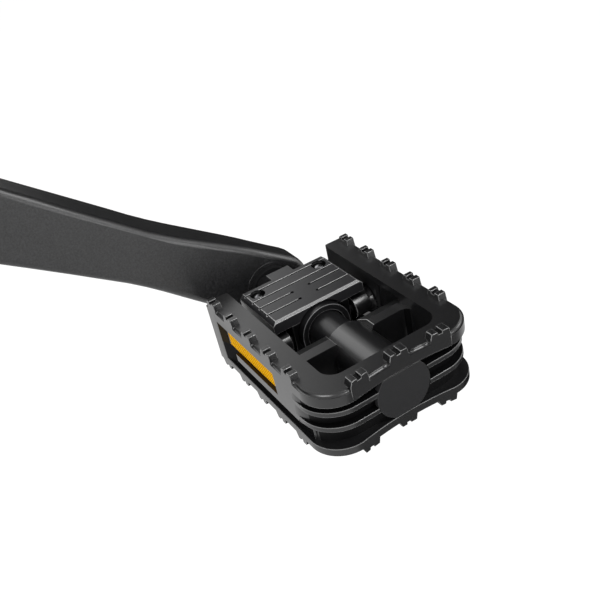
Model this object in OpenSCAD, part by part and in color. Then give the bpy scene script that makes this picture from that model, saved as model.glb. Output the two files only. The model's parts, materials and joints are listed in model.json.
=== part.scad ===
// Bicycle crank arm with a folding pedal.
// Lengths are in millimetres. Every module is drawn with x forward, y outward
// from the back of the spindle boss, and z up. placed() turns outward to -Y.
// The origin is on the spindle's axis, at the mouth of its socket.

/* [Crank arm] */
// Spindle axis to pedal axle axis
crank_len = 170; // [150:1:185]
// Slope of the arm below level, in degrees
arm_slope = 35.6; // [0:0.1:80]
// Outer face of the eye, out from the back of the boss
eye_face = 38.2; // [36:0.1:46]
// Thickness of the eye
eye_t = 15.7; // [13:0.1:18]
// How far the arm's face steps out from boss to eye
arm_offset = 16; // [10:0.5:18]
// Half height of the arm at the eye
eye_half = 14.6; // [12.5:0.1:17]
// Half height of the arm at its waist
waist_half = 11.6; // [9:0.1:13]
// Half height of the arm where it meets the boss
root_half = 18.4; // [16:0.1:20]
// Waist's place, measured from the axle
waist_at = 60; // [40:1:75]
// Length over which the eye keeps its height, from the axle toward the waist
eye_run = 10; // [0:1:25]
// Centre of the rounded end, beyond the axle
eye_over = 6.4; // [0:0.1:10]
// Length of the elbow behind the eye
elbow_len = 80; // [50:1:100]
// Rounding of the arm's long edges
arm_edge_r = 3.2; // [1:0.1:5]
// Raised pad round the axle's hole
eye_pad = 0.2; // [0.2:0.1:1]

/* [Spindle boss] */
// Radius of the boss
boss_r = 20; // [18.5:0.5:24]
// Depth of the boss
boss_t = 27; // [24:0.5:32]
// Radius of the chainring spigot at the back
spigot_r = 17; // [15:0.5:18]
// Length of the chainring spigot
spigot_t = 4; // [2:0.5:5]
// Width of the square socket at its mouth
square_w = 13.2; // [12:0.1:14]
// Taper of each side of the square, in degrees
square_taper = 2; // [1:0.1:3]
// Wall radius of the extractor's hole
extractor_r = 10.5; // [9.5:0.1:11.5]
// Depth of the extractor's hole
extractor_t = 9.5; // [7:0.5:11]

/* [Axle] */
// Radius of the axle's screwed end
thread_r = 7.1; // [6.4:0.05:7.4]
// Radius of the flange against the eye
flange_r = 9.6; // [8.8:0.1:11]
// Thickness of the flange
flange_t = 2.4; // [1.5:0.1:3]
// Width across the spanner flats
spanner_w = 15; // [14:0.5:17]
// Length of the spanner flats
spanner_t = 5.6; // [4:0.1:7]
// Radius of the journal in the hinge block
journal_r = 6; // [5:0.1:7]
// Length of the journal
journal_len = 24; // [18:0.5:26]
// Width across the hexagon key's hole in the screwed end
key_w = 8; // [6:0.5:9]
// Depth of that hole
key_d = 7; // [4:0.5:9]
// Step from the flange down to the spanner flats' round
spanner_step = 0.8; // [0.4:0.1:1.2]

/* [Pedal cage] */
// Inner ends of the arms, out from the eye's face
cage_gap = 11; // [10:0.1:16]
// Arms' inner ends to the outer teeth's faces
cage_len = 86.5; // [82:0.5:96]
// Width over the arms
cage_w = 68; // [64:0.5:76]
// Height without the teeth
cage_t = 27.5; // [26:0.5:32]
// Width of each arm
arm_w = 10; // [8:0.1:11]
// Radius of the outer corners
corner_r = 13; // [10:0.5:16]
// Hollow in the middle of the outer end
end_dip = 1.7; // [0.5:0.1:2.5]
// Thickness of the outer end at its thinnest
end_t = 8; // [6.5:0.1:10]
// Radius of the cove along the edges between the teeth
cove_r = 1.3; // [1:0.1:3]
// Thickness of the cross ribs
rib_t = 4.8; // [3:0.1:7]
// Ribs' top and bottom, in from the cage's faces
rib_drop = 4.5; // [3:0.1:6]
// Ribs' back, out from the barrel's mouth
rib_out = 2.6; // [1:0.1:5]
// Length of the sloped ledge behind each rib
ledge_len = 5; // [2:0.1:5.5]
// Depth of the hollow in the arms' inner sides
hollow_d = 2; // [1:0.1:2.5]
// Thickness of the lips above and below that hollow
hollow_lip = 2.9; // [2:0.1:4]

/* [Teeth] */
// Height of the teeth
tooth_h = 2.5; // [1.5:0.1:4]
// Length of an arm's tooth at its foot
tooth_len = 7.1; // [6:0.1:10]
// Length of an outer end's tooth at its foot
end_tooth_len = 8.2; // [6:0.1:10]
// Width of the arms' teeth
tooth_w = 3.5; // [2.5:0.1:4]
// Depth of the outer end's teeth
end_tooth_w = 4.2; // [4:0.1:5]
// Run of the upper teeth's sloped flank; the one behind it has half of this
tooth_flank = 0.8; // [0.6:0.1:2]
// The same on the lower teeth
lower_flank = 1.2; // [0.6:0.1:2]
// Depth of the notch between the two points of a tooth
notch_d = 1; // [0.5:0.1:1.8]
// Width of that notch
notch_w = 1.9; // [1:0.1:2.4]
// Run of the curve from an upper tooth down to the cove
tooth_heel = 0.9; // [0.4:0.1:3]
// Pitch of the arms' teeth
tooth_pitch = 15; // [12:0.5:16]
// Teeth on each arm
arm_teeth = 5; // [3:1:5]
// Pitch of the outer end's teeth
end_pitch = 17.1; // [13:0.1:18]

/* [Barrel and lock collar] */
// Radius of the barrel
barrel_r = 10.5; // [9.9:0.1:12]
// Radius of the collar's shaft
shaft_r = 8; // [7:0.1:8.4]
// Radius of the lock collar
collar_r = 11; // [10:0.1:11.6]
// Collar's face, out from the block's front
collar_out = 2.7; // [1.5:0.1:4]
// Barrel's mouth, out from the hinge axis
mouth_out = 20.6; // [18:0.1:23]
// How far the shaft enters the barrel
shaft_in = 7.5; // [5:0.1:9]
// Clearance of the shaft in the barrel
shaft_clear = 0.3; // [0.2:0.05:0.6]
// Radius of the round end cap
cap_r = 11.3; // [10.8:0.1:12]
// Thickness of the end cap
cap_t = 2.2; // [1.5:0.1:3]

/* [Hinge block] */
// Hinge axis, out from the arms' inner ends
hinge_in = 29.3; // [27:0.1:33]
// Radius of the hinge pin
pin_r = 2; // [1.5:0.1:2.2]
// Radius of the arms' hinge bosses
knuckle_r = 5; // [4:0.1:5.5]
// Inner faces of the hinge bosses, from the middle
knuckle_in = 15.2; // [15:0.1:17]
// Gap between the block's sides and the arms
block_gap = 3.1; // [2.5:0.1:5]
// Half width of the block's nose between the bosses
nose_half = 13.2; // [12.6:0.1:13.4]
// Block's front, out from the hinge axis
front_out = 3.2; // [2.8:0.1:4]
// Length of the plates
plate_len = 27.9; // [24:0.1:29]
// Plates' faces, in from the cage's faces
plate_in = 1.2; // [0.6:0.1:2]
// Thickness of the plates
plate_t = 5.5; // [4:0.1:6]
// Bevel along the plates' sides
plate_bevel = 1.8; // [0.8:0.1:2.4]
// Half width of the plates' tab
tab_half = 5.3; // [3:0.1:6]
// Length of the plates' tab
tab_len = 5; // [3:0.1:5.5]
// Radius of the neck round the axle
neck_r = 9; // [8.4:0.1:9.2]
// Gap round the collar in its recess
recess_gap = 0.8; // [0.4:0.1:1]
// Depth of the recess
recess_d = 1.1; // [0.5:0.1:1.2]
// Plate screws' distance from the plates' side edges
screw_edge = 6.1; // [5.4:0.1:7.4]
// Plate screws' distance from the plates' back edge
screw_in = 4.9; // [4.5:0.1:6]
// Radius of the screws' heads
screw_r = 2.3; // [2:0.1:3]
// Gap round a screw's head in its recess
screw_ring = 0.9; // [0.4:0.1:1.2]
// Depth of that recess
screw_sink = 1.6; // [1.2:0.1:2]

/* [Reflectors] */
// Length of the lens
lens_len = 36.5; // [30:0.5:38]
// Height of the lens
lens_h = 9.6; // [7:0.1:10]
// Thickness of the lens
lens_t = 1.6; // [1:0.1:2]
// Depth of the window
window_d = 3; // [2.4:0.1:4]
// Run of the window's sloped end
window_ramp = 9.5; // [5:0.5:10]
// Outer end of the window, out from the arms' inner ends
window_end = 53.3; // [50:0.1:54]
// Window's top edge, above the axle's axis
window_top = 8; // [7:0.1:9]

/* [Fits] */
// Radial clearance of a turning fit
run_clear = 0.05; // [0.02:0.01:0.1]
// Gap between pieces seated in each other
seat_gap = 0.1; // [0.05:0.05:0.2]
// End gap between the axle and the block
end_gap = 0.5; // [0.3:0.1:0.8]

/* [Hidden] */
$fn = 64;
eps = 1;

// Grooves round the outer end: top and bottom of each, above the axle's axis
END_GROOVES = [[8.3, 4.8], [2.8, -2], [-4, -10.5]];
// Groove along the foot of each arm: top and bottom
SIDE_GROOVE = [-5.2, -10.5];
side_groove_d = 2.5;
// Slant of the inner end of the bar between a lens and that groove
bar_slant = 3;
// Each groove's floor and each fin's edge: rounding of its corners, and depth in from the outer end
groove_r = 16;
groove_d = 4.2;
fin_r = 14.5;
fin_d = 1.3;
// Grooves on the plates: distance from the back edge, start from the middle
PLATE_GROOVES = [[2.7, 0], [9.1, 0], [14.7, 4.1], [21, 4.1]];
// A screw's dome stays this far below its plate's face
screw_low = 0.3;
groove_w = 0.7;
groove_cut = 0.5;
dot_r = 0.7;
// The teeth's feet run this far below the cove
tooth_sink = 0.5;
knuckle_flare = 2;
rib_fillet = 3.3;
ledge_drop = 2;

axle_x = crank_len * cos(arm_slope);
axle_z = -crank_len * sin(arm_slope);
eye_back = eye_face - eye_t;
back_root = spigot_t + 2;
flange_y = eye_face + eye_pad;
spanner_y = flange_y + flange_t;
neck_y = spanner_y + spanner_t + end_gap;
journal_end = neck_y + journal_len;

half_w = cage_w / 2;
half_t = cage_t / 2;
inner_half = half_w - arm_w;
block_w = 2 * (inner_half - block_gap);
screw_x = block_w / 2 - screw_edge;
cage_y0 = eye_face + cage_gap;
end_y = cage_y0 + cage_len;
mid_y = end_y - end_dip;
wall_y = mid_y - end_t;
hinge_y = cage_y0 + hinge_in;
front_y = hinge_y + front_out;
plate_y = front_y - plate_len;
plate_z = half_t - plate_in;
core_z = plate_z - plate_t;
mouth_y = hinge_y + mouth_out;
shaft_end = mouth_y + shaft_in;
cup_r = shaft_r + shaft_clear;
// The cup's floor clears the shaft's top corner as the cage swings
cup_end = hinge_y + norm([shaft_end - hinge_y, shaft_r]) + shaft_clear;
rib_y = mouth_y + rib_out;
rib_z = half_t - rib_drop;
ledge_y = rib_y - ledge_len;
// The cap's face stands this far out of the end's hollow
cap_out = 0.2;
cap_y = mid_y + cap_out - cap_t;
recess_r = collar_r + recess_gap;
floor_y = front_y - recess_d;
window_y = cage_y0 + window_end;
lens_y = window_y - lens_len;
corner_x = half_w - corner_r;
corner_y = end_y - corner_r;
// The hollow of the outer end stops just short of the corners
end_span = corner_x - 0.5;
end_r = (end_span * end_span + end_dip * end_dip) / (2 * end_dip);
tooth_in = 1.8;
first_tooth = cage_y0 + tooth_in;
// The cage's blank stands higher than its teeth
blank_z = half_t + tooth_h + eps;
// The pin ends in the arms, short of the windows' floor
pin_end = 1.5;
pin_len = 2 * (half_w - window_d - pin_end);

// Turns the drawing frame, y outward, to the part's frame
module placed() mirror([0, 1, 0]) children();

// Puts a piece drawn round the axle's axis in its place
module on_axle() translate([axle_x, 0, axle_z]) children();

// Stands a revolved piece along y from y0
module along_y(y0) translate([0, y0, 0]) rotate([-90, 0, 0]) children();

// Round bar along x, centred on the hinge axis
module along_x(r, x0, len) translate([x0, hinge_y, 0]) rotate([0, 90, 0]) cylinder(r = r, h = len);

// Copies a piece to both sides of the middle plane
module both_sides() for (side = [0, 1]) mirror([side, 0, 0]) children();

// Copies a piece to the top and the bottom
module both_faces() for (face = [0, 1]) mirror([0, 0, face]) children();

// Crank arm: sections lofted from the rounded eye to the boss

function smooth(t) = let (c = min(max(t, 0), 1)) c * c * (3 - 2 * c);
function arm_face(s) = eye_face - arm_offset * smooth(s / crank_len);
function arm_back(s) = back_root + (eye_back - back_root) * (1 - smooth(s / elbow_len));
function toward_eye(s) = eye_half + (waist_half - eye_half) * smooth((s - eye_run) / (waist_at - eye_run));
function toward_boss(s) =
    waist_half + (root_half - waist_half) * pow((s - waist_at) / (crank_len - waist_at), 1.2);
function round_end(s) = sqrt(eye_half * eye_half - pow(s + eye_over, 2));
function arm_half(s) = s < -eye_over ? round_end(s) : s < waist_at ? toward_eye(s) : toward_boss(s);

// One rounded section at the distance s from the axle
function section(s) =
    let (back = arm_back(s), face = arm_face(s), half = arm_half(s), r = min(arm_edge_r, half * 0.9))
    [
        for (corner = [[face - r, half - r, 0], [back + r, half - r, 90],
                       [back + r, r - half, 180], [face - r, r - half, 270]])
            for (step = [0:4])
                let (a = corner[2] + step * 22.5)
                [crank_len - s, corner[0] + r * cos(a), corner[1] + r * sin(a)]
    ];

// Stations: round the tip of the eye by angle, then evenly along the arm
arm_steps = 22;
STATIONS = concat(
    [for (a = [80:-10:0]) -eye_over - eye_half * sin(a)],
    [for (i = [0:arm_steps]) i * crank_len / arm_steps]
);

module arm_loft() {
    rings = [for (s = STATIONS) section(s)];
    n = len(rings[0]);
    last = len(rings) - 1;
    polyhedron(
        points = [for (ring = rings) each ring],
        faces = concat(
            [[for (k = [n - 1:-1:0]) k]],
            [for (i = [0:last - 1]) for (k = [0:n - 1])
                [i * n + k, i * n + (k + 1) % n, (i + 1) * n + (k + 1) % n, (i + 1) * n + k]],
            [[for (k = [0:n - 1]) last * n + k]]
        )
    );
}

// Boss with a rounded rim, and the spigot that carries the chainring
module boss() {
    rim = 2;
    along_y(0) rotate_extrude() {
        square([spigot_r, spigot_t]);
        translate([0, spigot_t]) square([boss_r, boss_t - spigot_t - rim]);
        translate([0, spigot_t]) square([boss_r - rim, boss_t - spigot_t]);
        translate([boss_r - rim, boss_t - rim]) circle(r = rim);
    }
}

// Square hole whose sides close in with depth
module square_socket() {
    depth = boss_t - extractor_t + eps;
    mouth = square_w / 2;
    floor_half = mouth - depth * tan(square_taper);
    outline = [[-mouth, 0], [mouth, 0], [floor_half, depth], [-floor_half, depth]];
    intersection() {
        translate([0, 0, -square_w]) linear_extrude(2 * square_w) polygon(outline);
        rotate([0, 90, 0]) translate([0, 0, -square_w]) linear_extrude(2 * square_w) polygon(outline);
    }
}

module crank_arm() color("#3c3c3e") difference() {
    union() {
        rotate([0, arm_slope, 0]) arm_loft();
        boss();
        on_axle() along_y(eye_back - eye_pad) cylinder(r = flange_r + 1.5, h = eye_t + 2 * eye_pad);
    }
    rotate([0, arm_slope, 0]) square_socket();
    along_y(boss_t - extractor_t) cylinder(r = extractor_r, h = extractor_t + eps);
    on_axle() along_y(eye_back - eps) cylinder(r = thread_r + run_clear, h = eye_t + 2 * eps);
}

module axle() color("#8f9194") on_axle() difference() {
    union() {
        along_y(eye_back) cylinder(r = thread_r, h = flange_y - eye_back);
        along_y(flange_y) cylinder(r = flange_r, h = flange_t);
        intersection() {
            along_y(spanner_y) cylinder(r = flange_r - spanner_step, h = spanner_t);
            translate([-flange_r, spanner_y, -spanner_w / 2]) cube([2 * flange_r, spanner_t, spanner_w]);
        }
        along_y(spanner_y) cylinder(r = journal_r, h = journal_end - end_gap - spanner_y);
    }
    along_y(eye_back - eps) cylinder(r = key_w / 2 / cos(30), h = key_d + eps, $fn = 6);
}

// Hinge block: a housing round the axle, narrowed to a nose between the hinge bosses

module hinge_block() color("#2b2b2d") on_axle() difference() {
    shoulder_y = hinge_y - knuckle_r - 1.5;
    union() {
        translate([-block_w / 2, plate_y, -core_z]) cube([block_w, shoulder_y - plate_y, 2 * core_z]);
        translate([-nose_half, plate_y, -core_z]) cube([2 * nose_half, front_y - plate_y, 2 * core_z]);
        along_y(neck_y) cylinder(r = neck_r, h = plate_y - neck_y);
    }
    along_y(neck_y - eps) cylinder(r = journal_r + run_clear, h = journal_len + eps);
    along_y(floor_y) cylinder(r = recess_r, h = recess_d + eps);
    along_x(pin_r, -half_w, cage_w);
    both_faces() both_sides() screw_place() cylinder(r = screw_r / 2, h = 3 * plate_t, center = true);
}

// Grooved plate with bevelled sides, drawn on the block's top
module plate() difference() {
    union() {
        intersection() {
            translate([0, front_y, 0]) rotate([90, 0, 0]) linear_extrude(plate_len) polygon([
                [-block_w / 2, core_z], [block_w / 2, core_z],
                [block_w / 2, plate_z - plate_bevel], [block_w / 2 - plate_bevel, plate_z],
                [plate_bevel - block_w / 2, plate_z], [-block_w / 2, plate_z - plate_bevel]
            ]);
            plate_side();
        }
        translate([-tab_half, plate_y - tab_len, neck_r + seat_gap])
            cube([2 * tab_half, tab_len + eps, plate_z - neck_r - seat_gap]);
    }
    along_y(floor_y) cylinder(r = recess_r, h = recess_d + eps);
    both_sides() screw_place() {
        cylinder(r = screw_r + screw_ring, h = eps + screw_sink);
        translate([0, 0, -plate_t]) cylinder(r = screw_r / 2, h = 2 * plate_t);
    }
    both_sides() for (groove = PLATE_GROOVES) translate([groove[1], plate_y + groove[0], plate_z - groove_cut]) {
        translate([0, -groove_w / 2, 0]) cube([block_w / 2, groove_w, groove_cut + eps]);
        if (groove[1] > 0) cylinder(r = dot_r, h = groove_cut + eps);
    }
}

// Side view of a plate, its front edge bevelled, drawn across the whole width
module plate_side() {
    edge = 0.8;
    translate([-block_w / 2, 0, 0]) rotate([90, 0, 90]) linear_extrude(block_w) polygon([
        [plate_y, core_z], [front_y, core_z], [front_y, plate_z - edge],
        [front_y - edge, plate_z], [plate_y, plate_z]
    ]);
}

// Place of one plate screw, at the floor of its recess
module screw_place() translate([screw_x, plate_y + screw_in, plate_z - screw_sink]) children();

module top_plate() color("#333335") on_axle() plate();

module bottom_plate() color("#333335") on_axle() mirror([0, 0, 1]) plate();

// Domed screws in the plates' recesses
module plate_screws() color("#b9bbbe") on_axle() both_faces() both_sides() screw_place() {
    dome = 1.25 * screw_r;
    intersection() {
        cylinder(r = screw_r, h = screw_sink);
        translate([0, 0, screw_sink - screw_low - dome]) sphere(r = dome);
    }
    translate([0, 0, -plate_t]) cylinder(r = screw_r / 2, h = plate_t);
}

// Turned collar and the shaft that carries the barrel's mouth
module lock_collar() color("#3a3a3c") on_axle() along_y(floor_y) rotate_extrude() difference() {
    out = front_y + collar_out - floor_y;
    rim = (collar_r - shaft_r) / 5;
    root = 1.5 * rim;
    polygon([
        [0, 0], [collar_r, 0], [collar_r, out - rim], [collar_r - rim, out],
        [collar_r - 2 * rim, out], [collar_r - 3 * rim, out - rim / 2],
        [shaft_r + root, out - rim / 2], [shaft_r + root, out], [shaft_r, out + root],
        [shaft_r, shaft_end - floor_y - rim], [shaft_r - rim, shaft_end - floor_y], [0, shaft_end - floor_y]
    ]);
}

module hinge_pin() color("#a5a7aa") on_axle() along_x(pin_r, -pin_len / 2, pin_len);

// Cage: a toothed, finned frame with the barrel in its middle

// Plan of the cage's outside
module cage_plan() difference() {
    union() {
        translate([-half_w, cage_y0]) square([cage_w, corner_y - cage_y0]);
        translate([-corner_x, cage_y0]) square([2 * corner_x, corner_y + corner_r - cage_y0]);
        both_sides() translate([corner_x, corner_y]) circle(r = corner_r);
    }
    translate([0, mid_y + end_r]) circle(r = end_r, $fn = 256);
}

// Plan of the core under a cut round the outer end
module core_plan(depth, r) {
    core_y = end_y - depth - r;
    core_x = half_w - r;
    translate([-half_w, cage_y0]) square([cage_w, core_y - cage_y0]);
    translate([-core_x, cage_y0]) square([2 * core_x, core_y + r - cage_y0]);
    both_sides() translate([core_x, core_y]) circle(r = r);
}

// Plan of the space between the arms
module inner_plan() {
    fillet = 6;
    lip = 1.4;
    translate([-inner_half, cage_y0 - eps]) square([2 * inner_half, wall_y - fillet - cage_y0 + eps]);
    translate([fillet - inner_half, cage_y0]) square([2 * (inner_half - fillet), wall_y - cage_y0]);
    both_sides() translate([inner_half - fillet, wall_y - fillet]) circle(r = fillet);
    both_sides() translate([inner_half, cage_y0]) difference() {
        translate([-eps, -eps]) square([lip + eps, lip + eps]);
        translate([lip, lip]) circle(r = lip);
        translate([lip, 0]) square(lip);
        translate([0, lip]) square(lip);
    }
}

// Two-pointed tooth in side view, its foot below the cage's face and its heel curved out
module tooth_outline(len, flank, foot, heel) {
    draft = 0.2;
    left = (len - notch_w) / 2;
    right = (len + notch_w) / 2;
    polygon(concat(
        [[0, -foot], [0, 0], [flank, tooth_h], [left, tooth_h], [left + draft, tooth_h - notch_d],
         [right - draft, tooth_h - notch_d], [right, tooth_h], [len - flank / 2, tooth_h], [len, 0]],
        [for (a = [15:15:90]) [len + heel * (1 - cos(a)), -foot * sin(a)]]
    ));
}

// Teeth along the arms and the outer end, as bars that run out past the cage's walls
module tooth_bars(flank, heel) {
    foot = cove_r + tooth_sink;
    both_sides() for (i = [0:arm_teeth - 1])
        translate([half_w - tooth_w, first_tooth + i * tooth_pitch, half_t])
            rotate([90, 0, 90]) linear_extrude(tooth_w + 2 * eps) tooth_outline(tooth_len, flank, foot, heel);
    for (i = [-1:1]) {
        face_y = i == 0 ? mid_y : end_y;
        translate([i * end_pitch - end_tooth_len / 2, end_y + 2 * eps, half_t])
            rotate([90, 0, 0]) linear_extrude(end_y + 2 * eps - face_y + end_tooth_w)
                tooth_outline(end_tooth_len, flank, foot, 0);
    }
}

// Space above the cage's face, where only the teeth stand
module over_face() translate([-half_w - eps, cage_y0 - eps, half_t])
    cube([cage_w + 2 * eps, cage_len + 2 * eps, tooth_h + 2 * eps]);

// Round cove cut along the upper edges, between the teeth
module edge_cove() translate([0, 0, half_t]) {
    both_sides() translate([half_w, cage_y0 - eps, 0]) rotate([-90, 0, 0])
        cylinder(r = cove_r, h = corner_y - cage_y0 + eps);
    both_sides() translate([corner_x, corner_y, 0]) rotate_extrude(angle = 90)
        translate([corner_r, 0]) circle(r = cove_r, $fn = 32);
    translate([0, mid_y + end_r, 0]) rotate([0, 0, -90 - asin(end_span / end_r)])
        rotate_extrude(angle = 2 * asin(end_span / end_r), $fn = 256)
            translate([end_r, 0]) circle(r = cove_r, $fn = 32);
}

// Cut round the outer end, from the windows on, between two heights
module end_cut(top, bottom, depth, r) translate([0, 0, bottom]) linear_extrude(top - bottom) difference() {
    translate([-half_w - eps, window_y]) square([cage_w + 2 * eps, cage_len]);
    core_plan(depth, r);
}

// Three grooves round the outer end; the two fins between them stand back from its flanges
module end_grooves() {
    for (groove = END_GROOVES) end_cut(groove[0], groove[1], groove_d, groove_r);
    for (i = [0, 1]) end_cut(END_GROOVES[i][1] + eps, END_GROOVES[i + 1][0] - eps, fin_d, fin_r);
}

// Window for a reflector, over a groove; one sloped end leads into both
module side_recess() {
    floor_x = half_w - window_d;
    y1 = lens_y - seat_gap;
    over = 1 + eps / window_d;
    translate([floor_x, y1, window_top - lens_h - seat_gap])
        cube([window_d + eps, window_y - y1, lens_h + 2 * seat_gap]);
    translate([half_w - side_groove_d, y1, SIDE_GROOVE[1]])
        cube([side_groove_d + eps, corner_y - y1, SIDE_GROOVE[0] - SIDE_GROOVE[1]]);
    translate([0, 0, SIDE_GROOVE[1]]) linear_extrude(window_top + seat_gap - SIDE_GROOVE[1]) polygon([
        [half_w + eps, y1 - window_ramp * over], [floor_x, y1], [half_w + eps, y1 + bar_slant * over]
    ]);
}

// Hollow along an arm's inner side, from the hinge boss to the rib
module arm_hollow() {
    hollow_y = hinge_y + knuckle_r + knuckle_flare;
    hollow_z = half_t - hollow_lip;
    translate([inner_half - eps, hollow_y, -hollow_z]) cube([hollow_d + eps, rib_y - hollow_y, 2 * hollow_z]);
}

// Boss on an arm for the hinge pin, flared into the arm
module knuckle() {
    along_x(knuckle_r, knuckle_in, inner_half + eps - knuckle_in);
    translate([inner_half - knuckle_flare, hinge_y, 0]) rotate([0, 90, 0])
        cylinder(r1 = knuckle_r, r2 = knuckle_r + knuckle_flare, h = knuckle_flare + 0.01);
}

// Rib from an arm to the barrel: its end slopes to the barrel's side, a ledge slopes down behind it,
// and a fillet joins its front to the arm
module rib() {
    top_x = barrel_r * 0.8;
    foot = barrel_r * 0.66;
    // The slope runs on past the rib's top
    over_x = top_x + eps * (top_x - foot) / (rib_z - foot);
    root_x = inner_half + hollow_d + eps;
    rib_front = rib_y + rib_t;
    fillet_y = rib_front + rib_fillet;
    low = rib_z - ledge_drop;
    intersection() {
        translate([0, fillet_y + eps, 0]) rotate([90, 0, 0]) linear_extrude(fillet_y + 2 * eps - ledge_y) polygon([
            [root_x, rib_z + eps], [over_x, rib_z + eps], [foot, foot],
            [foot, -foot], [over_x, -rib_z - eps], [root_x, -rib_z - eps]
        ]);
        rotate([90, 0, 90]) linear_extrude(root_x + eps) polygon([
            [ledge_y, -low], [rib_y, -rib_z], [fillet_y, -rib_z], [fillet_y, rib_z], [rib_y, rib_z], [ledge_y, low]
        ]);
        translate([0, 0, -half_t]) linear_extrude(cage_t) {
            translate([0, ledge_y - eps]) square([root_x + eps, rib_front - ledge_y + eps]);
            translate([inner_half - rib_fillet, rib_front - eps]) difference() {
                square([root_x, rib_fillet + eps]);
                translate([0, rib_fillet + eps]) circle(r = rib_fillet);
            }
        }
    }
}

// Space for the round cap between the end's flanges
module cap_space(gap) intersection() {
    along_y(cap_y - gap) cylinder(r = cap_r + gap, h = cap_t + 2 * gap + (gap > 0 ? eps : 0));
    translate([-half_w, cap_y - eps, END_GROOVES[2][1] + seat_gap - gap])
        cube([cage_w, cap_t + 3 * eps, END_GROOVES[0][0] - END_GROOVES[2][1] - 2 * (seat_gap - gap)]);
}

module cage() color("#2e2e30") on_axle() difference() {
    union() {
        difference() {
            translate([0, 0, -blank_z]) linear_extrude(2 * blank_z) difference() {
                cage_plan();
                inner_plan();
            }
            difference() {
                union() {
                    over_face();
                    edge_cove();
                }
                tooth_bars(tooth_flank, tooth_heel);
            }
            mirror([0, 0, 1]) difference() {
                over_face();
                tooth_bars(lower_flank, 0);
            }
            end_grooves();
            both_sides() arm_hollow();
        }
        both_sides() {
            knuckle();
            rib();
        }
        along_y(mouth_y) cylinder(r = barrel_r, h = wall_y + eps - mouth_y);
    }
    along_y(ledge_y - eps) cylinder(r = cup_r, h = cup_end - ledge_y + eps);
    translate([-cup_r, ledge_y - eps, -barrel_r - eps]) cube([2 * cup_r, cup_end - ledge_y + eps, barrel_r + eps]);
    along_x(pin_r + run_clear, -pin_len / 2 - seat_gap, pin_len + 2 * seat_gap);
    both_sides() side_recess();
    cap_space(seat_gap);
}

module end_cap() color("#3a3a3c") on_axle() cap_space(0);

// Amber lens on the floor of a window, its inner end along the slope
module reflector() color("#e0a818") translate([half_w - window_d, lens_y, window_top - lens_h])
    linear_extrude(lens_h) polygon([
        [0, 0], [0, lens_len - seat_gap], [lens_t, lens_len - seat_gap], [lens_t, -window_ramp * lens_t / window_d]
    ]);

module reflector_front() on_axle() reflector();

module reflector_rear() on_axle() mirror([1, 0, 0]) reflector();

placed() crank_arm();
placed() axle();
placed() hinge_block();
placed() top_plate();
placed() bottom_plate();
placed() plate_screws();
placed() lock_collar();
placed() hinge_pin();
placed() cage();
placed() end_cap();
placed() reflector_front();
placed() reflector_rear();
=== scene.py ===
import json
import math

import bmesh
import bpy
from mathutils import Matrix, Vector
from mathutils.bvhtree import BVHTree


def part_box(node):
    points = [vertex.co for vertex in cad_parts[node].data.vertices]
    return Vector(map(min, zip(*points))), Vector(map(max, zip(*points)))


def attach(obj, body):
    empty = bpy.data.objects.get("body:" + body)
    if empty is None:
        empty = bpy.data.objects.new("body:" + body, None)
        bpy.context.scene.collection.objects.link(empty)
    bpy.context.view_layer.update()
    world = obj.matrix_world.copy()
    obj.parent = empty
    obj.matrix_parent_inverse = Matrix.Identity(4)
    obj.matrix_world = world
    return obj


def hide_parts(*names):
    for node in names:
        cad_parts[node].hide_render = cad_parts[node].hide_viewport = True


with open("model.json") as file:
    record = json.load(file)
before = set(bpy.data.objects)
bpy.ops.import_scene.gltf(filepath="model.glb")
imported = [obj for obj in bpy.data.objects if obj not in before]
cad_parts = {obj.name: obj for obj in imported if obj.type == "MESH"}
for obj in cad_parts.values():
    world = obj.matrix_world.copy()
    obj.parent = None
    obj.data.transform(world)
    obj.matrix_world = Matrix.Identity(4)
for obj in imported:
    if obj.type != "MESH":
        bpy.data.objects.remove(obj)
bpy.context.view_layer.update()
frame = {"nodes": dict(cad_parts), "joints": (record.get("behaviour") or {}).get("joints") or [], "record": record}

# Sizes and places, in metres

MM = 0.001
MERGE = 0.002 * MM
FLAT = math.radians(0.6)
SHADE_ANGLE = math.radians(32)

# Floor: its height, measured from the spindle, and its side
GROUND_Z = -285 * MM
FLOOR_SIZE = 12.0

# Camera: where it stands, and its right and up directions
CAMERA_AT = Vector((0.02465, -0.31831, 0.08498))
CAMERA_RIGHT = Vector((0.83788, -0.51119, -0.19141))
CAMERA_UP = Vector((0.42374, 0.38808, 0.81844))
LENS_MM = 48.41
SENSOR_MM = 36.0

# A rounded corner that strays from its solid by more than this share of the radius goes back to it
STRAY_SHARE = 0.45

# A face counts as sheltered, and gets painted shade, when rays to opposite sides, or most of the rays, meet a
# solid within this reach.
# Each ring of rays has this many and leans from the face's normal by one of these sines.
SHELTER_TURNS = 12
SHELTER_LEANS = (0.92, 0.5)
SHELTER_REACH = 6 * MM
SHELTER_LIFT = 0.05 * MM

# Lock collar: radius of its shaft, its face above the recess it stands in, and the lips' size
COLLAR_SHAFT = 8 * MM
COLLAR_FACE = 3.8 * MM
COLLAR_LIP = 0.2 * MM
COLLAR_STEPS = 96

# Lens prisms
PRISM_PITCH = 1.2 * MM
PRISM_RISE = 0.32 * MM
# Painted light on the prisms: how much of the painted lit amber, against the painted shaded amber, each side of a
# prism takes
PRISM_UPPER, PRISM_LOWER, PRISM_INNER, PRISM_OUTER = 1.0, 0.1, 0.65, 0.35
# Slope of the windows' inner ends: length for each unit of depth
RAMP_RUN = 9.5 / 3
# Slant of the bar under a window, and foot of the groove below it, measured from the axle
BAR_SLANT = 3 * MM
GROOVE_FOOT = -10.5 * MM
# The windows' painted shade, thin dark skins: their thickness, and how much of a window's and a groove's end they
# cover
SHADE_SKIN = 0.06 * MM
WINDOW_COVER = 0.94
GROOVE_COVER = 0.95

# Shader node groups that more than one finish uses


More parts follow.
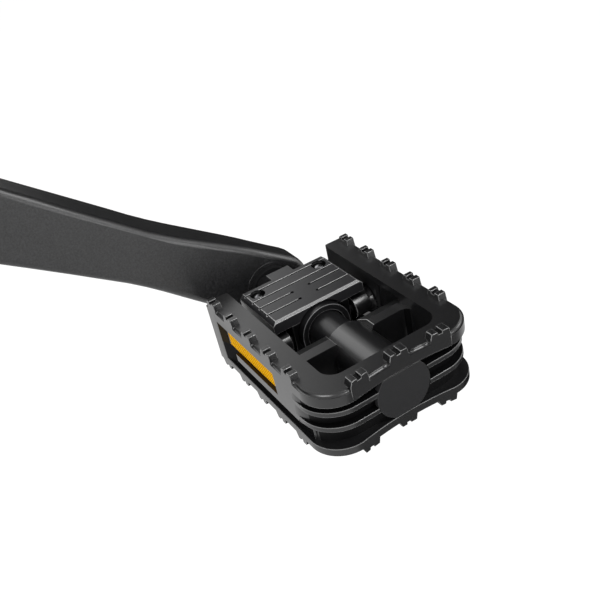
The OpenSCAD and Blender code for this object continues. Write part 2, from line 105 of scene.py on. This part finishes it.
def new_group(name, inputs, outputs):
    """An empty node group with float or vector inputs and outputs."""
    group = bpy.data.node_groups.new(name, "ShaderNodeTree")
    for label, kind, default in inputs:
        socket = group.interface.new_socket(label, in_out="INPUT", socket_type=kind)
        if default is not None:
            socket.default_value = default
    for label, kind in outputs:
        group.interface.new_socket(label, in_out="OUTPUT", socket_type=kind)
    return group, group.nodes.new("NodeGroupInput"), group.nodes.new("NodeGroupOutput")


def math_node(tree, operation, a, b=None, clamp=False):
    """A math node whose inputs are sockets or numbers; gives its output socket."""
    node = tree.nodes.new("ShaderNodeMath")
    node.operation = operation
    node.use_clamp = clamp
    for socket, value in zip(node.inputs, (a, b)):
        if value is None:
            continue
        if isinstance(value, (int, float)):
            socket.default_value = value
        else:
            tree.links.new(value, socket)
    return node.outputs[0]


def object_coordinates(tree):
    return tree.nodes.new("ShaderNodeTexCoord").outputs["Object"]


def noise_node(tree, vector, scale, detail=2.0, roughness=0.5):
    """A noise texture; scale is a number or a socket. Gives its value socket."""
    node = tree.nodes.new("ShaderNodeTexNoise")
    node.inputs["Detail"].default_value = detail
    node.inputs["Roughness"].default_value = roughness
    tree.links.new(vector, node.inputs["Vector"])
    if isinstance(scale, (int, float)):
        node.inputs["Scale"].default_value = scale
    else:
        tree.links.new(scale, node.inputs["Scale"])
    return node.outputs[0]


def make_grain():
    """Fine grain of a cast or spark-eroded skin: a tone, a slow mottle and a height."""
    group, given, put = new_group(
        "skin_grain",
        [("Grain size", "NodeSocketFloat", 0.0003), ("Mottle size", "NodeSocketFloat", 0.02)],
        [("Tone", "NodeSocketFloat"), ("Mottle", "NodeSocketFloat"), ("Height", "NodeSocketFloat")],
    )
    where = object_coordinates(group)
    fine = math_node(group, "DIVIDE", 1.0, given.outputs["Grain size"])
    slow = math_node(group, "DIVIDE", 1.0, given.outputs["Mottle size"])
    grain = noise_node(group, where, fine, detail=3.0, roughness=0.65)
    contrast = math_node(group, "MULTIPLY_ADD", grain, 2.6)
    contrast.node.inputs[2].default_value = -0.8
    contrast.node.use_clamp = True
    group.links.new(contrast, put.inputs["Tone"])
    group.links.new(noise_node(group, where, slow, detail=4.0), put.inputs["Mottle"])
    group.links.new(grain, put.inputs["Height"])
    return group


def make_turning_marks():
    """Fine rings left by a lathe round the pedal axle's line: a height and a tone."""
    group, given, put = new_group(
        "turning_marks",
        [("Ring pitch", "NodeSocketFloat", 0.0002), ("Axis X", "NodeSocketFloat", 0.0),
         ("Axis Z", "NodeSocketFloat", 0.0)],
        [("Height", "NodeSocketFloat"), ("Tone", "NodeSocketFloat")],
    )
    split = group.nodes.new("ShaderNodeSeparateXYZ")
    group.links.new(object_coordinates(group), split.inputs[0])
    across = math_node(group, "SUBTRACT", split.outputs["X"], given.outputs["Axis X"])
    above = math_node(group, "SUBTRACT", split.outputs["Z"], given.outputs["Axis Z"])
    radius = math_node(
        group, "SQRT", math_node(group, "ADD", math_node(group, "MULTIPLY", across, across),
                                 math_node(group, "MULTIPLY", above, above)))
    ring = group.nodes.new("ShaderNodeCombineXYZ")
    group.links.new(radius, ring.inputs["X"])
    group.links.new(split.outputs["Y"], ring.inputs["Y"])
    scale = math_node(group, "DIVIDE", 1.0, given.outputs["Ring pitch"])
    marks = noise_node(group, ring.outputs[0], scale, detail=2.0)
    group.links.new(marks, put.inputs["Height"])
    group.links.new(noise_node(group, object_coordinates(group), 160.0, detail=3.0), put.inputs["Tone"])
    return group


def make_edge_wear_and_highlight():
    """Mask of rounded edges in a lighter colour, partly wear from hands and shoes and partly painted highlight,
    broken up by a slow noise.
    """
    group, given, put = new_group(
        "edge_wear_and_highlight",
        [("Amount", "NodeSocketFloat", 0.5), ("Patch size", "NodeSocketFloat", 0.006)],
        [("Mask", "NodeSocketFloat")],
    )
    edge = group.nodes.new("ShaderNodeAttribute")
    edge.attribute_name = "edge"
    patch = noise_node(group, object_coordinates(group),
                       math_node(group, "DIVIDE", 1.0, given.outputs["Patch size"]), detail=3.0)
    wear_and_highlight = math_node(group, "MULTIPLY_ADD", patch, 1.6)
    wear_and_highlight.node.inputs[2].default_value = 0.1
    wear_and_highlight.node.use_clamp = True
    mask = math_node(group, "MULTIPLY", math_node(group, "MULTIPLY", edge.outputs["Fac"], wear_and_highlight),
                     given.outputs["Amount"], clamp=True)
    group.links.new(mask, put.inputs["Mask"])
    return group


SKIN_GRAIN = make_grain()
TURNING_MARKS = make_turning_marks()
EDGE_WEAR_AND_HIGHLIGHT = make_edge_wear_and_highlight()

# Finishes


def new_finish(name):
    """A material with a Principled shader; gives the material, its tree and the shader."""
    material = bpy.data.materials.new(name)
    material.use_nodes = True
    return material, material.node_tree, material.node_tree.nodes["Principled BSDF"]


def placed_group(tree, group, **values):
    """The group in this material, with its own values: Grain_size sets "Grain size"."""
    node = tree.nodes.new("ShaderNodeGroup")
    node.node_tree = group
    for label, value in values.items():
        node.inputs[label.replace("_", " ")].default_value = value
    return node


def mixed_colour(tree, factor, first, second):
    """Blend of two colours by a factor socket; each colour is a tuple or a socket."""
    node = tree.nodes.new("ShaderNodeMix")
    node.data_type = "RGBA"
    tree.links.new(factor, node.inputs["Factor"])
    for socket, colour in ((node.inputs[6], first), (node.inputs[7], second)):
        if isinstance(colour, tuple):
            socket.default_value = (*colour, 1.0)
        else:
            tree.links.new(colour, socket)
    return node.outputs[2]


def ranged(tree, value, low, high):
    """A 0 to 1 socket spread from low to high."""
    node = tree.nodes.new("ShaderNodeMapRange")
    node.inputs["To Min"].default_value = low
    node.inputs["To Max"].default_value = high
    tree.links.new(value, node.inputs["Value"])
    return node.outputs[0]


def bump(tree, shader, height, depth, strength):
    node = tree.nodes.new("ShaderNodeBump")
    node.inputs["Strength"].default_value = strength
    node.inputs["Distance"].default_value = depth
    tree.links.new(height, node.inputs["Height"])
    tree.links.new(node.outputs[0], shader.inputs["Normal"])


def skinned_finish(name, dark, light, rubbed_highlight, rough, grain, depth, strength, specular, rub_highlight=0.5):
    """Black paint or moulded plastic: grain in colour, roughness and bump, with rubbed edges lightened, partly as
    wear and partly as painted highlight.
    """
    material, tree, shader = new_finish(name)
    skin = placed_group(tree, SKIN_GRAIN, Grain_size=grain)
    edges = placed_group(tree, EDGE_WEAR_AND_HIGHLIGHT, Amount=rub_highlight)
    speckle = mixed_colour(tree, skin.outputs["Tone"], dark, light)
    # Rounded edges take the lighter colour: partly wear, partly painted highlight
    tree.links.new(mixed_colour(tree, edges.outputs["Mask"], speckle, rubbed_highlight), shader.inputs["Base Color"])
    uneven = ranged(tree, skin.outputs["Mottle"], rough[0], rough[1])
    polished = math_node(tree, "MULTIPLY", edges.outputs["Mask"], 0.18)
    tree.links.new(math_node(tree, "SUBTRACT", uneven, polished, clamp=True), shader.inputs["Roughness"])
    shader.inputs["Specular IOR Level"].default_value = specular
    bump(tree, shader, skin.outputs["Height"], depth, strength)
    return material


def turned_finish(name, dark, light, metallic, rough, pitch, depth, specular=0.5):
    """Turned metal: lathe rings in the bump, a slow change of tone."""
    material, tree, shader = new_finish(name)
    lathe = placed_group(tree, TURNING_MARKS, Ring_pitch=pitch, Axis_X=AXLE.x, Axis_Z=AXLE.z)
    tree.links.new(mixed_colour(tree, lathe.outputs["Tone"], dark, light), shader.inputs["Base Color"])
    tree.links.new(ranged(tree, lathe.outputs["Tone"], rough[0], rough[1]), shader.inputs["Roughness"])
    shader.inputs["Metallic"].default_value = metallic
    shader.inputs["Specular IOR Level"].default_value = specular
    bump(tree, shader, lathe.outputs["Height"], depth, 0.5)
    return material


def amber_finish(name):
    """Clear amber plastic over its own prisms, with painted light: each prism face blends a painted lit amber and
    a painted shaded amber by the share its side takes.
    """
    material, tree, shader = new_finish(name)
    painted_facet_light = tree.nodes.new("ShaderNodeAttribute")
    painted_facet_light.attribute_name = "painted_facet_light"
    amber = mixed_colour(tree, painted_facet_light.outputs["Fac"], AMBER_PAINTED_SHADE, AMBER_PAINTED_LIT)
    tree.links.new(amber, shader.inputs["Base Color"])
    cloud = noise_node(tree, object_coordinates(tree), 400.0, detail=3.0)
    tree.links.new(ranged(tree, cloud, 0.12, 0.24), shader.inputs["Roughness"])
    shader.inputs["Specular IOR Level"].default_value = 0.03
    return material


AXLE = Vector(frame["joints"][0]["pos_m"])
# Painted shaded amber and painted lit amber for the prism faces
AMBER_PAINTED_SHADE = (0.25, 0.06, 0.0005)
AMBER_PAINTED_LIT = (0.66, 0.37, 0.002)

# Each skinned finish's third colour goes on its rounded edges: partly wear, partly painted highlight
ARM_PAINT = skinned_finish(
    "arm_paint", (0.0003, 0.0003, 0.0004), (0.014, 0.014, 0.0147), (0.03, 0.03, 0.03),
    rough=(0.32, 0.40), grain=0.75 * MM, depth=0.06 * MM, strength=0.4, specular=0.55, rub_highlight=0.2)
CAGE_PLASTIC = skinned_finish(
    "cage_plastic", (0.003, 0.003, 0.0033), (0.006, 0.006, 0.0063), (0.16, 0.16, 0.16),
    rough=(0.26, 0.32), grain=0.20 * MM, depth=0.01 * MM, strength=0.12, specular=0.55, rub_highlight=0.8)
# Painted shade: a darker, duller copy of the plastic for sheltered faces in grooves and close to other pieces
PLASTIC_PAINTED_SHADE = skinned_finish(
    "plastic_painted_shade", (0.001, 0.001, 0.0011), (0.002, 0.002, 0.0022), (0.06, 0.06, 0.06),
    rough=(0.40, 0.46), grain=0.20 * MM, depth=0.01 * MM, strength=0.12, specular=0.1, rub_highlight=0.8)
PLATE_PLASTIC = skinned_finish(
    "plate_plastic", (0.008, 0.008, 0.009), (0.013, 0.013, 0.014), (0.30, 0.30, 0.30),
    rough=(0.26, 0.32), grain=0.20 * MM, depth=0.01 * MM, strength=0.12, specular=0.42, rub_highlight=0.8)
BLOCK_PLASTIC = skinned_finish(
    "block_plastic", (0.003, 0.003, 0.0033), (0.006, 0.006, 0.0063), (0.04, 0.04, 0.04),
    rough=(0.32, 0.40), grain=0.20 * MM, depth=0.01 * MM, strength=0.12, specular=0.35)
CAP_PLASTIC = skinned_finish(
    "cap_plastic", (0.007, 0.007, 0.0075), (0.010, 0.010, 0.0105), (0.04, 0.04, 0.04),
    rough=(0.60, 0.68), grain=0.16 * MM, depth=0.01 * MM, strength=0.12, specular=0.2)
COLLAR_BLACK = turned_finish(
    "collar_black", (0.004, 0.004, 0.0044), (0.007, 0.007, 0.0075), metallic=0.0,
    rough=(0.28, 0.34), pitch=0.25 * MM, depth=0.005 * MM, specular=0.25)
# Light finish for the collar's lips: partly wear, partly painted highlight
COLLAR_WEAR_AND_HIGHLIGHT = turned_finish(
    "collar_wear_and_highlight", (0.10, 0.10, 0.102), (0.14, 0.14, 0.142), metallic=0.0,
    rough=(0.28, 0.34), pitch=0.25 * MM, depth=0.005 * MM)
AXLE_STEEL = turned_finish(
    "axle_black", (0.003, 0.003, 0.0033), (0.006, 0.006, 0.0063), metallic=0.0,
    rough=(0.50, 0.60), pitch=0.25 * MM, depth=0.01 * MM, specular=0.15)
SCREW_STEEL = turned_finish(
    "screw_steel", (0.11, 0.11, 0.114), (0.16, 0.16, 0.165), metallic=1.0,
    rough=(0.20, 0.28), pitch=0.20 * MM, depth=0.005 * MM)
LENS_AMBER = amber_finish("lens_amber")
# Painted shade: dark amber for the lens's foot, dark brown and black for the windows' sloped ends
LENS_PAINTED_SHADE = skinned_finish(
    "lens_painted_shade", (0.020, 0.011, 0.0008), (0.030, 0.016, 0.001), (0.05, 0.03, 0.002),
    rough=(0.45, 0.55), grain=0.3 * MM, depth=0.005 * MM, strength=0.1, specular=0.1)
WINDOW_BROWN = skinned_finish(
    "window_brown", (0.010, 0.007, 0.003), (0.016, 0.011, 0.005), (0.04, 0.03, 0.02),
    rough=(0.60, 0.70), grain=0.25 * MM, depth=0.005 * MM, strength=0.1, specular=0.03)
WINDOW_BLACK = skinned_finish(
    "window_black", (0.004, 0.004, 0.0044), (0.007, 0.007, 0.0075), (0.03, 0.03, 0.03),
    rough=(0.60, 0.70), grain=0.25 * MM, depth=0.005 * MM, strength=0.1, specular=0.03)

# Pieces


def finished_piece(bm, name, material, body):
    """The bmesh as an object at the origin that rides on a body."""
    mesh = bpy.data.meshes.new(name)
    bm.to_mesh(mesh)
    bm.free()
    mesh.materials.append(material)
    piece = bpy.data.objects.new(name, mesh)
    bpy.context.scene.collection.objects.link(piece)
    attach(piece, body)
    return piece


def body_of(node):
    for body, members in frame["record"]["behaviour"]["bodies"].items():
        if node in members:
            return body
    raise KeyError(node)


def stands_for(piece, node):
    """The piece takes the solid's place, with sharp edges kept and flat faces flat."""
    piece.data.set_sharp_from_angle(angle=SHADE_ANGLE)
    weighted = piece.modifiers.new("flat faces stay flat", "WEIGHTED_NORMAL")
    weighted.keep_sharp = True
    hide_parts(node)


def narrow(face, width):
    """True for a strip of a curved face that is narrower than this."""
    return face.calc_area() < width * max(e.calc_length() for e in face.edges)


def hollow(face):
    """True for a strip of a hollow curve, such as a cove."""
    return any(e.is_manifold and not e.is_convex and math.radians(2) < e.calc_face_angle() < SHADE_ANGLE
               for e in face.edges)


def all_solids():
    """One search tree of all solids, in place."""
    corners, faces = [], []
    for node in frame["nodes"].values():
        first = len(corners)
        corners.extend(v.co.copy() for v in node.data.vertices)
        faces.extend([first + i for i in p.vertices] for p in node.data.polygons)
    return BVHTree.FromPolygons(corners, faces)


SOLIDS = all_solids()


def sheltered(face, triangle):
    """True for a face that sees little of the room: a groove's floor, or a wall close to another piece."""
    a, b, c = triangle
    start = (a + b + c) / 3 + SHELTER_LIFT * face.normal
    side = (b - a).normalized()
    other = face.normal.cross(side)
    blocked = []
    for lean in SHELTER_LEANS:
        for step in range(SHELTER_TURNS):
            turn = math.tau * step / SHELTER_TURNS
            outward = math.cos(turn) * side + math.sin(turn) * other
            ray = lean * outward + math.sqrt(1 - lean * lean) * face.normal
            met = SOLIDS.ray_cast(start, ray, SHELTER_REACH)[0]
            blocked.append(met is not None)
    half = SHELTER_TURNS // 2
    between_walls = any(blocked[step] and blocked[step + half] for step in range(half))
    return between_walls or sum(blocked) > SHELTER_TURNS


def softened(node, radius, material, sharp_deg=30, segments=2, painted_shade=None, slim=2.2):
    """A solid's merged copy with its outer sharp edges rounded; it stands for the solid.

    A second, darker finish of painted shade goes on its sheltered faces.
    """
    bm = bmesh.new()
    bm.from_mesh(frame["nodes"][node].data)
    bmesh.ops.remove_doubles(bm, verts=bm.verts, dist=MERGE)
    bmesh.ops.dissolve_limit(bm, angle_limit=FLAT, use_dissolve_boundaries=False,
                             verts=bm.verts, edges=bm.edges)
    solid = BVHTree.FromBMesh(bm)
    layer = bm.faces.layers.float.new("edge")
    bm.normal_update()
    sharp = [e for e in bm.edges
             if e.is_manifold and e.is_convex and e.calc_face_angle() > math.radians(sharp_deg)
             and not any(narrow(f, slim * radius) or hollow(f) for f in e.link_faces)]
    rounded = bmesh.ops.bevel(bm, geom=sharp, offset=radius, offset_type="OFFSET", affect="EDGES",
                              segments=segments, profile=0.5, material=-1, clamp_overlap=False)
    for face in rounded["faces"]:
        face[layer] = 1.0
    # Where edges crowd, a rounded corner may overshoot: it goes back to the solid's face
    low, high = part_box(node)
    for vert in bm.verts:
        nearest, _, _, away = solid.find_nearest(vert.co)
        if away > STRAY_SHARE * radius or any(c < a or c > b for c, a, b in zip(vert.co, low, high)):
            vert.co = nearest
    bmesh.ops.remove_doubles(bm, verts=bm.verts, dist=MERGE)
    bm.normal_update()
    for face in bm.faces:
        face.smooth = True
    if painted_shade:
        largest = {}
        for loops in bm.calc_loop_triangles():
            corners = [loop.vert.co.copy() for loop in loops]
            area = (corners[1] - corners[0]).cross(corners[2] - corners[0]).length
            if area > largest.get(loops[0].face, (0, None))[0]:
                largest[loops[0].face] = (area, corners)
        for face, (_, corners) in largest.items():
            # Sheltered faces take the painted shade finish
            face.material_index = int(sheltered(face, corners))
    piece = finished_piece(bm, node + "_finish", material, body_of(node))
    if painted_shade:
        piece.data.materials.append(painted_shade)
    stands_for(piece, node)


softened("crank_arm", 0.1 * MM, ARM_PAINT, sharp_deg=40)
softened("cage", 0.2 * MM, CAGE_PLASTIC, painted_shade=PLASTIC_PAINTED_SHADE)
softened("top_plate", 0.18 * MM, PLATE_PLASTIC, painted_shade=PLASTIC_PAINTED_SHADE, slim=1.0)
softened("bottom_plate", 0.18 * MM, PLATE_PLASTIC, painted_shade=PLASTIC_PAINTED_SHADE, slim=1.0)
softened("hinge_block", 0.2 * MM, BLOCK_PLASTIC, painted_shade=PLASTIC_PAINTED_SHADE)
softened("end_cap", 0.15 * MM, CAP_PLASTIC)
softened("axle", 0.2 * MM, AXLE_STEEL)
softened("hinge_pin", 0.2 * MM, AXLE_STEEL)
softened("plate_screws", 0.12 * MM, SCREW_STEEL)


def turned_collar(node, material, wear_and_highlight):
    """The lock collar, spun from its outline: a flat ring with fine lips in a light finish, partly wear and partly
    painted highlight, and a plain shaft.
    """
    low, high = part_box(node)
    outer = (high.x - low.x) / 2
    length = high.y - low.y
    shaft = COLLAR_SHAFT
    lip, face = COLLAR_LIP, COLLAR_FACE
    outline = [
        (0, 0), (outer, 0), (outer, face - lip), (outer - 0.3 * lip, face - 0.3 * lip), (outer - lip, face),
        (shaft + 4 * lip, face), (shaft + 3.3 * lip, face - 0.3 * lip), (shaft + 3 * lip, face - lip),
        (shaft + 3 * lip, face - 3 * lip), (shaft, face - 3 * lip),
        (shaft, length - 2 * lip), (shaft - 2 * lip, length), (0, length)]
    bm = bmesh.new()
    ring = [bm.verts.new((AXLE.x + across, high.y - along, AXLE.z)) for across, along in outline]
    sides = [bm.edges.new(pair) for pair in zip(ring, ring[1:])]
    bmesh.ops.spin(bm, geom=ring + sides, cent=(AXLE.x, 0, AXLE.z), axis=(0, 1, 0), dvec=(0, 0, 0),
                   angle=math.tau, steps=COLLAR_STEPS, use_merge=True)
    bmesh.ops.remove_doubles(bm, verts=bm.verts, dist=MERGE)
    bmesh.ops.recalc_face_normals(bm, faces=bm.faces)
    for side in bm.faces:
        side.smooth = True
        sloped = 0.2 < abs(side.normal.y) < 0.98
        # The sloped lips take the light finish: partly wear, partly painted highlight
        side.material_index = int(sloped and side.calc_center_median().y > high.y - face)
    piece = finished_piece(bm, node + "_turned", material, body_of(node))
    piece.data.materials.append(wear_and_highlight)
    stands_for(piece, node)


turned_collar("lock_collar", COLLAR_BLACK, COLLAR_WEAR_AND_HIGHLIGHT)


def prism_lens(node, outward):
    """A reflector lens whose face is a grid of small pyramids; its inner end follows the window's slope."""
    low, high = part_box(node)
    size = high - low
    columns = round(size.y / PRISM_PITCH)
    rows = round(size.z / PRISM_PITCH)
    bm = bmesh.new()
    painted_facet_light = bm.faces.layers.float.new("painted_facet_light")
    bmesh.ops.create_grid(bm, x_segments=columns, y_segments=rows, size=0.5)
    bmesh.ops.translate(bm, verts=bm.verts, vec=(0.5, 0.5, 0))
    bmesh.ops.scale(bm, verts=bm.verts, vec=(size.y, size.z, 1))
    lifted = bmesh.ops.extrude_face_region(bm, geom=bm.faces[:])["geom"]
    front = [f for f in lifted if isinstance(f, bmesh.types.BMFace)]
    bmesh.ops.translate(bm, verts=[v for v in lifted if isinstance(v, bmesh.types.BMVert)],
                        vec=(0, 0, size.x - PRISM_RISE))
    for vert in bm.verts:
        if vert.co.x > size.y - MERGE:
            vert.co.x -= RAMP_RUN * (size.x - vert.co.z)
    pokes = bmesh.ops.poke(bm, faces=front, offset=PRISM_RISE, center_mode="MEAN", use_relative_offset=False)
    tips = set(pokes["verts"])
    for side in pokes["faces"]:
        # Painted light: each side of a prism takes its share of lit amber from the way it leans, upper sides lit
        # and lower sides shaded
        tip = next(v for v in side.verts if v in tips)
        lean = side.calc_center_median() - tip.co
        if abs(lean.y) > abs(lean.x):
            side[painted_facet_light] = PRISM_UPPER if lean.y > 0 else PRISM_LOWER
        else:
            side[painted_facet_light] = PRISM_INNER if lean.x > 0 else PRISM_OUTER
    # x runs along the lens, y up, and z out of the window
    turn = Matrix(((0, 0, outward, 0), (1, 0, 0, 0), (0, 1, 0, 0), (0, 0, 0, 1)))
    place = Matrix.Translation((low.x if outward > 0 else high.x, low.y, low.z))
    bmesh.ops.transform(bm, matrix=place @ turn, verts=bm.verts)
    bmesh.ops.recalc_face_normals(bm, faces=bm.faces)
    piece = finished_piece(bm, node + "_prisms", LENS_AMBER, body_of(node))
    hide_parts(node)


def slope_skin(name, corner, run, rise, outward, material, body):
    """A thin dark skin of painted shade that lies on a window's sloped end, from a lower corner of it."""
    lift = run.cross(rise).normalized() * SHADE_SKIN
    if lift.x * outward < 0:
        lift = -lift
    bm = bmesh.new()
    bmesh.ops.create_grid(bm, x_segments=1, y_segments=1, size=0.5)
    bmesh.ops.translate(bm, verts=bm.verts, vec=(0.5, 0.5, 0))
    bmesh.ops.transform(bm, verts=bm.verts, matrix=Matrix.Translation(corner + lift) @ Matrix(
        (run, rise, lift)).transposed().to_4x4())
    bmesh.ops.solidify(bm, geom=bm.faces[:], thickness=SHADE_SKIN / 2)
    bmesh.ops.recalc_face_normals(bm, faces=bm.faces)
    return finished_piece(bm, name, material, body)


def window_painted_shade(node, outward):
    """Painted shade in a lens's window, as thin dark skins: brown on its sloped end, black on the end of the
    groove below, and dark amber on the lens's foot.
    """
    low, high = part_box(node)
    cage_low, cage_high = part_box("cage")
    body = body_of(node)
    side_x = cage_high.x if outward > 0 else cage_low.x
    face_x = high.x if outward > 0 else low.x
    floor_x = low.x if outward > 0 else high.x
    reach = abs(side_x - face_x)
    depth = abs(side_x - floor_x)
    run = Vector((side_x - face_x, RAMP_RUN * reach, 0)) * WINDOW_COVER
    upper = slope_skin(node + "_window_end", Vector((face_x, high.y, low.z)), run,
                       Vector((0, 0, high.z - low.z)), outward, WINDOW_BROWN, body)
    inner = high.y - RAMP_RUN * (depth - reach)
    run = Vector((side_x - floor_x, RAMP_RUN * depth, 0)) * GROOVE_COVER
    foot_z = AXLE.z + GROOVE_FOOT
    lower = slope_skin(node + "_groove_end", Vector((floor_x, inner, foot_z)), run,
                       Vector((0, 0, low.z - foot_z)), outward, WINDOW_BLACK, body)
    bm = bmesh.new()
    bmesh.ops.create_cube(bm, size=1)
    bar_end = inner - BAR_SLANT
    bmesh.ops.scale(bm, verts=bm.verts, vec=(reach * WINDOW_COVER, bar_end - low.y, 2 * SHADE_SKIN))
    bmesh.ops.translate(bm, verts=bm.verts, vec=((face_x + side_x) / 2, (low.y + bar_end) / 2, low.z))
    # The lens's foot: a thin bar of painted shade in dark amber
    foot = finished_piece(bm, node + "_foot", LENS_PAINTED_SHADE, body)


for lens, outward in (("reflector_front", 1), ("reflector_rear", -1)):
    prism_lens(lens, outward)
    window_painted_shade(lens, outward)

# Stage: floor, light and camera


def staged_sheet(name, width, height, material):
    """A flat sheet round the origin that belongs to the stage."""
    bm = bmesh.new()
    bmesh.ops.create_grid(bm, x_segments=1, y_segments=1, size=0.5)
    bmesh.ops.scale(bm, verts=bm.verts, vec=(width, height, 1))
    mesh = bpy.data.meshes.new(name)
    bm.to_mesh(mesh)
    bm.free()
    mesh.materials.append(material)
    sheet = bpy.data.objects.new(name, mesh)
    bpy.context.scene.collection.objects.link(sheet)
    return sheet


def seen_ray(tree):
    """1 for rays from the camera, and for those that metal and glass send on."""
    path = tree.nodes.new("ShaderNodeLightPath")
    sent_on = math_node(tree, "MAXIMUM", path.outputs["Is Glossy Ray"], path.outputs["Is Transmission Ray"])
    return math_node(tree, "MAXIMUM", path.outputs["Is Camera Ray"], sent_on)


def mixed_shader(tree, factor, first, second, output):
    """Two shader nodes, blended by a factor socket into the output node."""
    mix = tree.nodes.new("ShaderNodeMixShader")
    tree.links.new(factor, mix.inputs[0])
    tree.links.new(first.outputs[0], mix.inputs[1])
    tree.links.new(second.outputs[0], mix.inputs[2])
    tree.links.new(mix.outputs[0], tree.nodes[output].inputs["Surface"])


def make_floor():
    """A pale floor that looks white and still takes the part's shadow."""
    material, tree, shader = new_finish("floor_white")
    shader.inputs["Base Color"].default_value = (0.86, 0.86, 0.86, 1)
    shader.inputs["Roughness"].default_value = 0.9
    shader.inputs["Specular IOR Level"].default_value = 0.1
    glow = tree.nodes.new("ShaderNodeEmission")
    glow.inputs["Strength"].default_value = 1.08
    mixed_shader(tree, math_node(tree, "MULTIPLY", seen_ray(tree), 0.9), shader, glow, "Material Output")
    floor = staged_sheet("floor", FLOOR_SIZE, FLOOR_SIZE, material)
    floor.data.transform(Matrix.Translation((0, 0, GROUND_Z)))


def make_world(level):
    """White to the camera and in reflections, a plain soft level as light."""
    world = bpy.data.worlds.new("studio")
    bpy.context.scene.world = world
    world.use_nodes = True
    tree = world.node_tree
    light = tree.nodes["Background"]
    light.inputs["Color"].default_value = (1, 1, 1, 1)
    light.inputs["Strength"].default_value = level
    white = tree.nodes.new("ShaderNodeBackground")
    white.inputs["Color"].default_value = (1, 1, 1, 1)
    mixed_shader(tree, seen_ray(tree), light, white, "World Output")


def soft_lamp(name, place, aim, width, height, radiance):
    """A rectangular lamp that shows this brightness to what faces it."""
    lamp = bpy.data.lights.new(name, "AREA")
    lamp.shape = "RECTANGLE"
    lamp.size = width
    lamp.size_y = height
    lamp.energy = radiance * math.pi * width * height
    holder = bpy.data.objects.new(name, lamp)
    holder.location = place
    holder.rotation_euler = (Vector(aim) - Vector(place)).to_track_quat("-Z", "Y").to_euler()
    holder.visible_camera = False
    bpy.context.scene.collection.objects.link(holder)


def make_camera():
    camera = bpy.data.objects.new("camera", bpy.data.cameras.new("camera"))
    back = CAMERA_RIGHT.cross(CAMERA_UP)
    camera.matrix_world = Matrix.Translation(CAMERA_AT) @ Matrix(
        (CAMERA_RIGHT, CAMERA_UP, back)).transposed().to_4x4()
    camera.data.lens = LENS_MM
    camera.data.sensor_width = SENSOR_MM
    camera.data.clip_start = 0.01
    bpy.context.scene.collection.objects.link(camera)
    bpy.context.scene.camera = camera


def dark_card(name, place, aim, width, height, tone):
    """A card out of the camera's sight that only reflections see."""
    material, tree, _ = new_finish(name)
    glow = tree.nodes.new("ShaderNodeEmission")
    glow.inputs["Strength"].default_value = tone
    tree.links.new(glow.outputs[0], tree.nodes["Material Output"].inputs["Surface"])
    card = staged_sheet(name, width, height, material)
    card.matrix_world = Matrix.Translation(place) @ (Vector(aim) - Vector(place)).to_track_quat(
        "Z", "Y").to_matrix().to_4x4()
    card.visible_camera = False
    card.visible_diffuse = False
    card.visible_shadow = False


def toward(azimuth, elevation, distance):
    """A place seen from the pedal: degrees right of straight back, degrees up, and how far."""
    turn, tilt = math.radians(azimuth), math.radians(elevation)
    return PEDAL + distance * Vector(
        (math.cos(tilt) * math.sin(turn), math.cos(tilt) * math.cos(turn), math.sin(tilt)))


PEDAL = Vector((AXLE.x, -0.095, AXLE.z))
make_floor()
make_world(0.35)
soft_lamp("key_left", toward(-122, 25, 0.85), PEDAL, 0.5, 0.5, 8.0)
soft_lamp("top_front", toward(144, 52, 0.85), PEDAL, 0.35, 0.35, 12.0)
soft_lamp("edge_right", toward(105, 16, 0.9), PEDAL, 0.35, 0.35, 5.0)
soft_lamp("front_low", toward(162, 6, 0.9), PEDAL, 0.40, 0.34, 6.0)
soft_lamp("back_left", toward(-15, 34, 1.0), PEDAL, 0.50, 0.75, 2.2)
soft_lamp("back_middle", toward(12, 34, 1.0), PEDAL, 0.42, 0.75, 0.9)
dark_card("card_right", toward(47.2, 38, 1.0), PEDAL, 0.84, 1.0, 0.05)
dark_card("card_behind", toward(24, -4, 0.5), PEDAL, 0.84, 0.40, 0.02)
dark_card("card_left", toward(-56, 22, 1.0), PEDAL, 0.70, 0.60, 0.03)
dark_card("card_front", Vector((0.36, -0.40, -0.275)), Vector((0.36, -0.40, 0)), 0.42, 0.40, 0.30)
dark_card("card_below", Vector((0.155, -0.098, -0.128)), Vector((0.155, -0.098, 0)), 0.10, 0.09, 0.01)
make_camera()

bpy.context.scene.view_settings.view_transform = "Standard"
